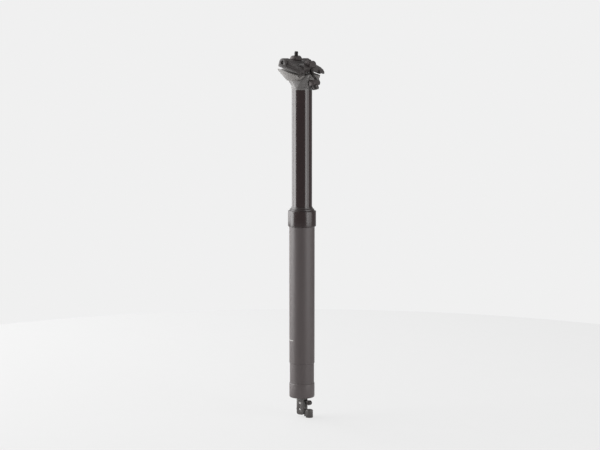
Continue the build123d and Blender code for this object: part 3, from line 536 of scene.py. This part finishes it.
NODE_FINISH: dict[str, Finish] = {
    "lower_tube": BLASTED_BLACK, "base_cap": CAP_BLACK, "seal_collar": COLLAR_BLACK, "stanchion": GLOSS_BLACK,
    "post_head": FORGED_BLACK, "lower_cradle": CRADLE_GREY, "upper_clamp": CLAMP_BLACK,
    "wiper_seal": LIP_RUBBER, "foam_ring": OILED_FOAM, "upper_bush": BEARING_PLASTIC,
    "topout_ring": SEAL_RUBBER, "bottom_bumper": SEAL_RUBBER, "gas_rod": GROUND_STEEL,
    "gas_piston": BARE_ALUMINIUM, "gas_piston_seal": SEAL_RUBBER, "actuator_jam_nut": ZINC_STEEL,
    "actuator_bracket": ACTUATOR_GREY, "lever_pivot_pin": CROSS_PIN_STEEL, "housing_stop": ACTUATOR_GREY,
    "stop_pin": CROSS_PIN_STEEL, "stop_lock_screw": BLACK_STEEL, "lever_return_spring": SPRING_STEEL,
    "anti_rotation_keys": KEY_BRASS, "lower_guide_ring": BEARING_PLASTIC,
    "cartridge_retaining_nut": BARE_ALUMINIUM, "gas_cylinder": BARE_ALUMINIUM, "rod_gland": BARE_ALUMINIUM,
    "rod_seal": SEAL_RUBBER, "cylinder_plug": BARE_ALUMINIUM, "gas_fill_valve": KEY_BRASS,
    "valve_pin": GROUND_STEEL, "floating_piston": BARE_ALUMINIUM, "floating_piston_seal": SEAL_RUBBER,
    "front_bolt": BLACK_STEEL, "rear_bolt": BLACK_STEEL, "front_barrel_washer": BARREL_GREY,
    "rear_barrel_washer": BARREL_GREY, "front_barrel_nut": BARREL_GREY, "rear_barrel_nut": BARREL_GREY,
    "actuator_lever": ACTUATOR_GREY, "cable_barrel": BARREL_GREY, "cable_pinch_screw": BLACK_STEEL,
}


def dress(obj: bpy.types.Object, finish: Finish) -> None:
    """Gives every slot of an object one finish.

    Args:
        obj: The object.
        finish: The finish.
    """
    material = finish.material()
    if not obj.material_slots:
        obj.data.materials.append(material)
    for slot in obj.material_slots:
        slot.material = material


def merged_copy(source: bpy.types.Object, name: str) -> bpy.types.Object:
    """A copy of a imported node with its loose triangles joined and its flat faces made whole.

    Args:
        source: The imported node.
        name: The new object's name.

    Returns:
        The copy, at the origin.
    """
    mesh = source.data.copy()
    mesh.name = name
    work = bmesh.new()
    work.from_mesh(mesh)
    bmesh.ops.remove_doubles(work, verts=work.verts, dist=WELD_DISTANCE)
    bmesh.ops.dissolve_limit(work, angle_limit=FLAT_ANGLE, verts=work.verts, edges=work.edges)
    work.to_mesh(mesh)
    work.free()
    copy = bpy.data.objects.new(name, mesh)
    bpy.context.scene.collection.objects.link(copy)
    return copy


@dataclass
class SubAssembly:
    """A group of pieces that are made and dressed together."""

    nodes: Mapping[str, bpy.types.Object]
    made: list[bpy.types.Object] = field(default_factory=list)

    def place(self, obj: bpy.types.Object, body: str, slot: str, finish: Finish, *stands_for: str) -> None:
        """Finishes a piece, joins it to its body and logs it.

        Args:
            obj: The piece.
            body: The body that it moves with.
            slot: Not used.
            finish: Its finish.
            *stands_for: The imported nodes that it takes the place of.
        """
        dress(obj, finish)
        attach(obj, body)
        if stands_for:
            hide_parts(*stands_for)
        self.made.append(obj)
        LOG.info("%s on %s: %d faces", obj.name, body, len(obj.data.polygons))

    def soften(self, node: str, body: str, slot: str, width: float) -> None:
        """Takes the place of a node with a copy whose edges are broken.

        Args:
            node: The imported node.
            body: Its body.
            slot: Its material slot.
            width: The broken edge's width in metres.
        """
        copy = merged_copy(self.nodes[node], node + "_softened")
        bevel = copy.modifiers.new("broken_edges", "BEVEL")
        bevel.width = width
        bevel.segments = 2
        bevel.limit_method = "ANGLE"
        bevel.angle_limit = EDGE_ANGLE
        bevel.use_clamp_overlap = True
        bevel.harden_normals = False
        depsgraph = bpy.context.evaluated_depsgraph_get()
        mesh = bpy.data.meshes.new_from_object(copy.evaluated_get(depsgraph))
        copy.modifiers.clear()
        copy.data = mesh
        mesh.shade_smooth()
        mesh.set_sharp_from_angle(angle=SHARP_ANGLE)
        self.place(copy, body, slot, NODE_FINISH[node], node)


class GeometryTree(Graph):
    """A Geometry Nodes tree that makes one plain mesh."""

    def __init__(self, name: str, inputs: Mapping[str, float]) -> None:
        """Starts the tree.

        Args:
            name: The tree's name.
            inputs: Its named sizes and their defaults.
        """
        tree = bpy.data.node_groups.new(name, "GeometryNodeTree")
        super().__init__(tree)
        tree.interface.new_socket("Geometry", in_out="OUTPUT", socket_type="NodeSocketGeometry")
        for label, default in inputs.items():
            kind = "NodeSocketInt" if isinstance(default, int) else "NodeSocketFloat"
            socket = tree.interface.new_socket(label, in_out="INPUT", socket_type=kind)
            socket.default_value = default
        source = tree.nodes.new("NodeGroupInput")
        self.sizes = {label: Value(self, source.outputs[label]) for label in inputs}

    def close(self, geometry: Value, material: bpy.types.Material) -> None:
        """Ends the tree.

        Args:
            geometry: The finished geometry.
            material: Its material.
        """
        real = self.node("GeometryNodeRealizeInstances", None, [geometry])
        dressed = self.node("GeometryNodeSetMaterial", None, {"Geometry": real, "Material": material})
        end = self.tree.nodes.new("NodeGroupOutput")
        self.tree.links.new(dressed.socket, end.inputs["Geometry"])

    def mesh(self, name: str, values: Mapping[str, float], place: Matrix) -> bpy.types.Object:
        """Runs the tree once and keeps its result.

        Args:
            name: The new object's name.
            values: The sizes, by name.
            place: Where the result goes.

        Returns:
            The object, at the origin, with its place in its mesh.
        """
        holder = bpy.data.objects.new(name + "_source", bpy.data.meshes.new(name + "_source"))
        bpy.context.scene.collection.objects.link(holder)
        modifier = holder.modifiers.new("maker", "NODES")
        modifier.node_group = self.tree
        for item in self.tree.interface.items_tree:
            if item.item_type == "SOCKET" and item.in_out == "INPUT" and item.name in values:
                modifier[item.identifier] = values[item.name]
        depsgraph = bpy.context.evaluated_depsgraph_get()
        mesh = bpy.data.meshes.new_from_object(holder.evaluated_get(depsgraph))
        bpy.data.objects.remove(holder)
        mesh.transform(place)
        work = bmesh.new()
        work.from_mesh(mesh)
        bmesh.ops.remove_doubles(work, verts=work.verts, dist=WELD_DISTANCE)
        bmesh.ops.recalc_face_normals(work, faces=work.faces)
        work.to_mesh(mesh)
        work.free()
        made = bpy.data.objects.new(name, mesh)
        bpy.context.scene.collection.objects.link(made)
        return made


def threaded_shank_tree(material: bpy.types.Material) -> GeometryTree:
    """A tree that makes a bolt's threaded shank along +Z, open at both ends.

    Args:
        material: The shank's material.

    Returns:
        The tree.
    """
    tree = GeometryTree("threaded_shank", {
        "Radius": 2.5 * MM, "Thread Depth": 0.4 * MM, "Pitch": 0.8 * MM, "Length": 30.0 * MM,
        "Point": 0.6 * MM, "Least Radius": 0.2 * MM, "Around": 25, "Along": 300})
    size = tree.sizes
    grid = tree.node("GeometryNodeMeshGrid", None, {
        "Size X": math.tau, "Size Y": 1.0, "Vertices X": size["Around"], "Vertices Y": size["Along"]})
    turn, share, _ = tree.split(tree.node("GeometryNodeInputPosition"))
    height = (share + 0.5) * size["Length"]
    whole_turns = 100.0  # keeps the phase above zero
    phase = height / size["Pitch"] - turn / math.tau + whole_turns
    groove = (phase * 2.0).zigzag(1.0)
    to_tip = (size["Length"] - height) / size["Point"]
    tip = tree.node("ShaderNodeClamp", None, [1.0 - to_tip, 0.0, 1.0])
    radius = size["Radius"] - groove * size["Thread Depth"] - tip * size["Point"]
    radius = tree.node("ShaderNodeMath", {"operation": "MAXIMUM"}, [radius, size["Least Radius"]])
    moved = tree.node("ShaderNodeCombineXYZ", None, [radius * turn.cosine(), radius * turn.wave(), height])
    shank = tree.node("GeometryNodeSetPosition", None, {"Geometry": grid, "Position": moved})
    tree.close(shank, material)
    return tree


@dataclass(frozen=True)
class BoltSizes:
    """What differs between the two clamp bolts."""

    end: str
    side: float
    foot: float
    seat: float
    head_radius: float
    tail: float
    head_hex: float = 0.0
    tail_hex: float = 0.0


@dataclass
class ClampBolts(SubAssembly):
    """The two clamp bolts: threaded shanks, knurled cap heads and hexagon sockets."""

    front: BoltSizes = BoltSizes("front", 1.0, 18.1 * MM, 3.4 * MM, 4.25 * MM, 5.7 * MM, head_hex=4.0 * MM)
    rear: BoltSizes = BoltSizes("rear", -1.0, 11.0 * MM, 2.7 * MM, 3.6 * MM, 9.6 * MM, tail_hex=2.5 * MM)
    head_height: float = 5.0 * MM
    shank_radius: float = 2.5 * MM
    point: float = 0.6 * MM
    head_hex_depth: float = 3.0 * MM
    head_bevel: float = 0.5 * MM
    head_rim: float = 0.12 * MM
    tail_hex_depth: float = 2.5 * MM
    tip_sink: float = 0.01 * MM
    shank_sink: float = 1.0 * MM
    thread_step: float = 0.13 * MM
    knurls: int = 36
    knurl_depth: float = 0.09 * MM
    head_sharp: float = math.radians(30.0)
    thread_sharp: float = math.radians(45.0)
    lug_height: float = 177.9 * MM
    pivot_height: float = 198.5 * MM
    nut_reach: float = 11.0 * MM
    nut_rise: float = 5.2 * MM
    clamp_slope: float = math.radians(17.0)

    def place_of(self, foot: Vector, nut: Vector) -> Matrix:
        """The turn and place that take +Z onto a bolt's axis.

        Args:
            foot: The barrel washer's centre.
            nut: The barrel nut's centre.

        Returns:
            The matrix.
        """
        return Matrix.Translation(foot) @ (nut - foot).to_track_quat("Z", "Y").to_matrix().to_4x4()

    def head(self, bolt: BoltSizes, place: Matrix) -> bpy.types.Object:
        """A cap head with a knurled side and a hexagon socket from below.

        Args:
            bolt: The bolt's sizes.
            place: The bolt's place.

        Returns:
            The head.
        """
        work = bmesh.new()
        wide, rim, bevel = bolt.head_radius, self.head_rim, self.head_bevel
        top, bottom = -bolt.seat, -bolt.seat - self.head_height
        steps = self.knurls * 4
        profile = [(self.shank_radius * 0.8, top, 0.0), (wide - rim, top, 0.0), (wide, top - rim, 0.0),
                   (wide, top - 0.3 * MM, 1.0), (wide, bottom + bevel + 0.1 * MM, 1.0),
                   (wide, bottom + bevel, 0.0), (wide - bevel, bottom, 0.0)]
        rings = []
        for radius, height, knurl in profile:
            ring = []
            for step in range(steps):
                turn = math.tau * step / steps
                reach = radius - self.knurl_depth * knurl * (0.5 + 0.5 * math.cos(self.knurls * turn))
                ring.append(work.verts.new((reach * math.cos(turn), reach * math.sin(turn), height)))
            rings.append(ring)
        if bolt.head_hex:
            rings += self.socket(work, steps, bolt.head_hex, bottom, bottom + self.head_hex_depth)
        self.skin(work, rings)
        return self.finished(work, bolt.end + "_bolt_head", place)

    def socket(self, work: bmesh.types.BMesh, steps: int, flats: float, mouth: float,
               floor: float) -> list[list[bmesh.types.BMVert]]:
        """The two rings of points of a hexagon socket.

        Args:
            work: The mesh in the making.
            steps: How many points to a ring.
            flats: The hexagon's width across its flats.
            mouth: The height of its mouth.
            floor: The height of its floor.

        Returns:
            The ring at the mouth and the ring at the floor.
        """
        rings: list[list[bmesh.types.BMVert]] = [[], []]
        for step in range(steps):
            turn = math.tau * step / steps
            reach = flats / 2 / math.cos((turn + math.pi / 6) % (math.pi / 3) - math.pi / 6)
            for ring, height in zip(rings, (mouth, floor)):
                ring.append(work.verts.new((reach * math.cos(turn), reach * math.sin(turn), height)))
        return rings

    def skin(self, work: bmesh.types.BMesh, rings: list[list[bmesh.types.BMVert]]) -> None:
        """Joins rings of points in order and closes both ends.

        Args:
            work: The mesh in the making.
            rings: The rings, all with the same number of points.
        """
        for low, high in zip(rings, rings[1:]):
            for step in range(len(low)):
                after = (step + 1) % len(low)
                work.faces.new((low[step], low[after], high[after], high[step]))
        work.faces.new(rings[0])
        work.faces.new(rings[-1])
        bmesh.ops.recalc_face_normals(work, faces=work.faces)

    def finished(self, work: bmesh.types.BMesh, name: str, place: Matrix) -> bpy.types.Object:
        """A smooth-shaded object with its place in its mesh.

        Args:
            work: The mesh in the making.
            name: The object's name.
            place: The bolt's place.

        Returns:
            The object.
        """
        mesh = bpy.data.meshes.new(name)
        work.to_mesh(mesh)
        work.free()
        mesh.transform(place)
        mesh.shade_smooth()
        mesh.set_sharp_from_angle(angle=self.head_sharp)
        made = bpy.data.objects.new(name, mesh)
        bpy.context.scene.collection.objects.link(made)
        return made

    def tip(self, bolt: BoltSizes, place: Matrix, top: float) -> bpy.types.Object:
        """The plug in a shank's upper end, with the rear bolt's hexagon socket.

        Args:
            bolt: The bolt's sizes.
            place: The bolt's place.
            top: The height of the shank's end.

        Returns:
            The plug.
        """
        work = bmesh.new()
        steps = self.knurls * 2
        radius, low = self.shank_radius - self.point, top - self.tail_hex_depth - self.point
        turns = [math.tau * step / steps for step in range(steps)]
        rings = [[work.verts.new((radius * math.cos(turn), radius * math.sin(turn), height))
                  for turn in turns] for height in (low, top - self.tip_sink)]
        if bolt.tail_hex:
            rings += self.socket(work, steps, bolt.tail_hex, top - self.tip_sink, top - self.tail_hex_depth)
        self.skin(work, rings)
        return self.finished(work, bolt.end + "_bolt_tip", place)

    def build(self) -> None:
        """Makes both bolts in their places."""
        tree = threaded_shank_tree(BLACK_STEEL.material())
        cosine, sine = math.cos(self.clamp_slope), math.sin(self.clamp_slope)
        for bolt in (self.front, self.rear):
            foot = Vector((bolt.side * bolt.foot, 0.0, self.lug_height))
            arm = bolt.side * self.nut_reach
            nut = Vector((arm * cosine + self.nut_rise * sine, 0.0,
                          self.pivot_height - arm * sine + self.nut_rise * cosine))
            place = self.place_of(foot, nut)
            start = -bolt.seat - self.shank_sink
            top = (nut - foot).length + bolt.tail
            length = top - start
            values = {"Length": length, "Along": int(length / self.thread_step)}
            shank = tree.mesh(bolt.end + "_bolt_shank", values,
                              place @ Matrix.Translation((0.0, 0.0, start)))
            shank.data.shade_smooth()
            shank.data.set_sharp_from_angle(angle=self.thread_sharp)
            head, tip = self.head(bolt, place), self.tip(bolt, place, top)
            body = bolt.end + "_bolt_set"
            self.place(shank, body, "black_steel", BLACK_STEEL, bolt.end + "_bolt")
            for piece in (head, tip):
                self.place(piece, body, "black_steel", BLACK_STEEL)


@dataclass
class SaddleClamp(SubAssembly):
    """The clamp's two castings, the head that carries them and the barrels on its bolts."""

    clamp_edge: float = 0.35 * MM
    head_edge: float = 0.4 * MM
    barrel_edge: float = 0.3 * MM

    def build(self) -> None:
        """Breaks the castings' and barrels' edges."""
        for node in ("lower_cradle", "upper_clamp"):
            self.soften(node, "saddle_clamp", "clamp_black", self.clamp_edge)
        self.soften("post_head", "upper_post", "forged_black", self.head_edge)
        for piece, body in (("barrel_nut", "nut"), ("barrel_washer", "bolt_set")):
            for end in ("front_", "rear_"):
                self.soften(end + piece, end + body, "barrel_grey", self.barrel_edge)


@dataclass
class Actuator(SubAssembly):
    """The bracket, lever and housing stop under the base cap, with the lever's return spring."""

    plate_edge: float = 0.2 * MM
    lever_edge: float = 0.15 * MM
    spring_foot: float = -228.0 * MM
    spring_keep: float = 0.72

    def build(self) -> None:
        """Breaks the small parts' edges and makes a smooth copy of the return spring."""
        self.soften("actuator_bracket", "lower_post", "actuator_grey", self.plate_edge)
        self.soften("actuator_lever", "lever", "actuator_grey", self.lever_edge)
        self.soften("housing_stop", "lower_post", "actuator_grey", self.plate_edge)
        self.soften("cable_barrel", "cable_anchor", "barrel_grey", self.lever_edge)
        spring = merged_copy(self.nodes["lever_return_spring"], "return_spring_wire")
        spring.data.shade_smooth()
        self.place(spring, "lower_post", "spring_steel", SPRING_STEEL, "lever_return_spring")
        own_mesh(spring)


@dataclass
class Post(SubAssembly):
    """The outer post's own turned parts that have sharp edges."""

    collar_edge: float = 0.25 * MM
    cap_edge: float = 0.2 * MM
    nut_edge: float = 0.15 * MM

    def build(self) -> None:
        """Breaks the collar's, cap's and jam nut's edges."""
        self.soften("seal_collar", "lower_post", "gloss_black", self.collar_edge)
        self.soften("base_cap", "lower_post", "blasted_black", self.cap_edge)
        self.soften("actuator_jam_nut", "lower_post", "zinc_steel", self.nut_edge)


@dataclass(frozen=True)
class Panel:
    """A soft light panel beside the post, at an angle in degrees from the camera's direction."""

    name: str
    angle: float
    distance: float
    height: float
    width: float
    tall: float
    watts: float

    def build(self, azimuth: float, aim: Vector) -> None:
        """Adds the lamp.

        Args:
            azimuth: The camera's azimuth in degrees.
            aim: Where the panel faces.
        """
        data = bpy.data.lights.new(self.name, "AREA")
        data.shape = "RECTANGLE"
        data.size, data.size_y = self.width, self.tall
        data.energy = self.watts
        turn = math.radians(azimuth + self.angle)
        where = Vector((math.sin(turn), -math.cos(turn), 0.0)) * self.distance
        where += Vector((0.0, 0.0, self.height))
        lamp = bpy.data.objects.new(self.name, data)
        lamp.location = where
        lamp.rotation_euler = (aim - where).to_track_quat("-Z", "Y").to_euler()
        bpy.context.scene.collection.objects.link(lamp)


@dataclass
class Studio:
    """The floor, lamps, surroundings and camera."""

    azimuth: float = 34.0
    distance: float = 2.014
    height: float = 0.2145
    pitch: float = 6.03
    focal: float = 1631.0
    image_width: float = 600.0
    sensor_width: float = 36.0
    aside: float = -0.00245
    floor_height: float = -240.0 * MM
    floor_radius: float = 0.86
    floor_sides: int = 128
    fibre_scale: float = 40.0
    fibre_greys: tuple[float, float] = (0.62, 0.66)
    floor_glow: float = 0.8
    paper: float = 0.872
    ambient: float = 0.34
    panels: tuple[Panel, ...] = (
        Panel("left_panel", -92.0, 1.5, 0.25, 1.03, 1.7, 34.0),
        Panel("far_left_panel", -130.0, 1.5, 0.45, 1.03, 1.5, 15.0),
        Panel("right_strip", 47.0, 1.6, 0.25, 0.45, 1.6, 9.5),
        Panel("right_panel", 70.0, 1.6, 0.25, 0.86, 1.6, 9.5),
        Panel("top_panel", -150.0, 0.9, 1.3, 1.2, 1.2, 10.0))

    def floor(self) -> None:
        """Adds the round floor sheet."""
        mesh = bpy.data.meshes.new("floor")
        work = bmesh.new()
        bmesh.ops.create_circle(work, cap_ends=True, segments=self.floor_sides, radius=self.floor_radius)
        work.to_mesh(mesh)
        work.free()
        mesh.transform(Matrix.Translation((0.0, 0.0, self.floor_height)))
        floor = bpy.data.objects.new("floor", mesh)
        bpy.context.scene.collection.objects.link(floor)
        material = bpy.data.materials.new("paper")
        material.use_nodes = True
        material.node_tree.nodes.clear()
        graph = Graph(material.node_tree)
        fibre = graph.noise(graph.point(), self.fibre_scale, 4.0)
        seen = self.seen(graph)
        low, high = ((grey, grey, grey) for grey in self.fibre_greys)
        shade = graph.node("ShaderNodeBsdfDiffuse", None, {"Color": graph.tint(fibre, low, high)})
        glow = graph.node("ShaderNodeEmission", None, {
            "Color": (self.paper, self.paper, self.paper, 1.0), "Strength": 1.0})
        mixed = graph.node("ShaderNodeMixShader", None, [seen * self.floor_glow, shade, glow])
        graph.node("ShaderNodeOutputMaterial", None, {"Surface": mixed})
        mesh.materials.append(material)

    def seen(self, graph: Graph) -> Value:
        """1 for rays that come straight from the camera.

        Args:
            graph: The graph that asks.

        Returns:
            The mask.
        """
        return graph.node("ShaderNodeLightPath", out="Is Camera Ray")

    def world(self) -> None:
        """Sets the pale surroundings."""
        world = bpy.data.worlds.new("studio")
        world.use_nodes = True
        world.node_tree.nodes.clear()
        graph = Graph(world.node_tree)
        grey = self.ambient
        level = graph.tint(self.seen(graph), (grey, grey, grey), (self.paper, self.paper, self.paper))
        glow = graph.node("ShaderNodeBackground", None, {"Color": level, "Strength": 1.0})
        graph.node("ShaderNodeOutputWorld", None, {"Surface": glow})
        bpy.context.scene.world = world

    def camera(self) -> None:
        """Sets the camera at the photograph's angle."""
        turn = math.radians(self.azimuth)
        outward = Vector((math.sin(turn), -math.cos(turn), 0.0))
        sideways = Vector((math.cos(turn), math.sin(turn), 0.0))
        data = bpy.data.cameras.new("camera")
        data.sensor_width = self.sensor_width
        data.lens = self.focal / self.image_width * data.sensor_width
        data.clip_start, data.clip_end = 0.01, 50.0
        camera = bpy.data.objects.new("camera", data)
        camera.location = outward * self.distance + sideways * self.aside + Vector((0.0, 0.0, self.height))
        down = math.radians(self.pitch)
        look = outward * -math.cos(down) + Vector((0.0, 0.0, -math.sin(down)))
        camera.rotation_euler = look.to_track_quat("-Z", "Y").to_euler()
        bpy.context.scene.collection.objects.link(camera)
        bpy.context.scene.camera = camera

    def build(self) -> None:
        """Makes the whole studio."""
        self.camera()
        self.floor()
        self.world()
        aim = Vector((0.0, 0.0, 0.0))
        for panel in self.panels:
            panel.build(self.azimuth, aim)
        bpy.context.scene.view_settings.view_transform = "Standard"


def dress_nodes(nodes: Mapping[str, bpy.types.Object]) -> None:
    """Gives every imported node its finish.

    Args:
        nodes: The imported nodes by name.
    """
    for name, obj in nodes.items():
        dress(obj, NODE_FINISH[name])


def main() -> None:
    """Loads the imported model, dresses it and sets the studio."""
    logging.basicConfig(level=logging.INFO, format="%(message)s")
    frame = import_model()
    nodes = frame["nodes"]
    Studio().build()
    dress_nodes(nodes)
    for group in (Post(nodes), SaddleClamp(nodes), ClampBolts(nodes), Actuator(nodes)):
        group.build()
        LOG.info("%s: %d pieces", type(group).__name__, len(group.made))


if __name__ == "__main__":
    main()
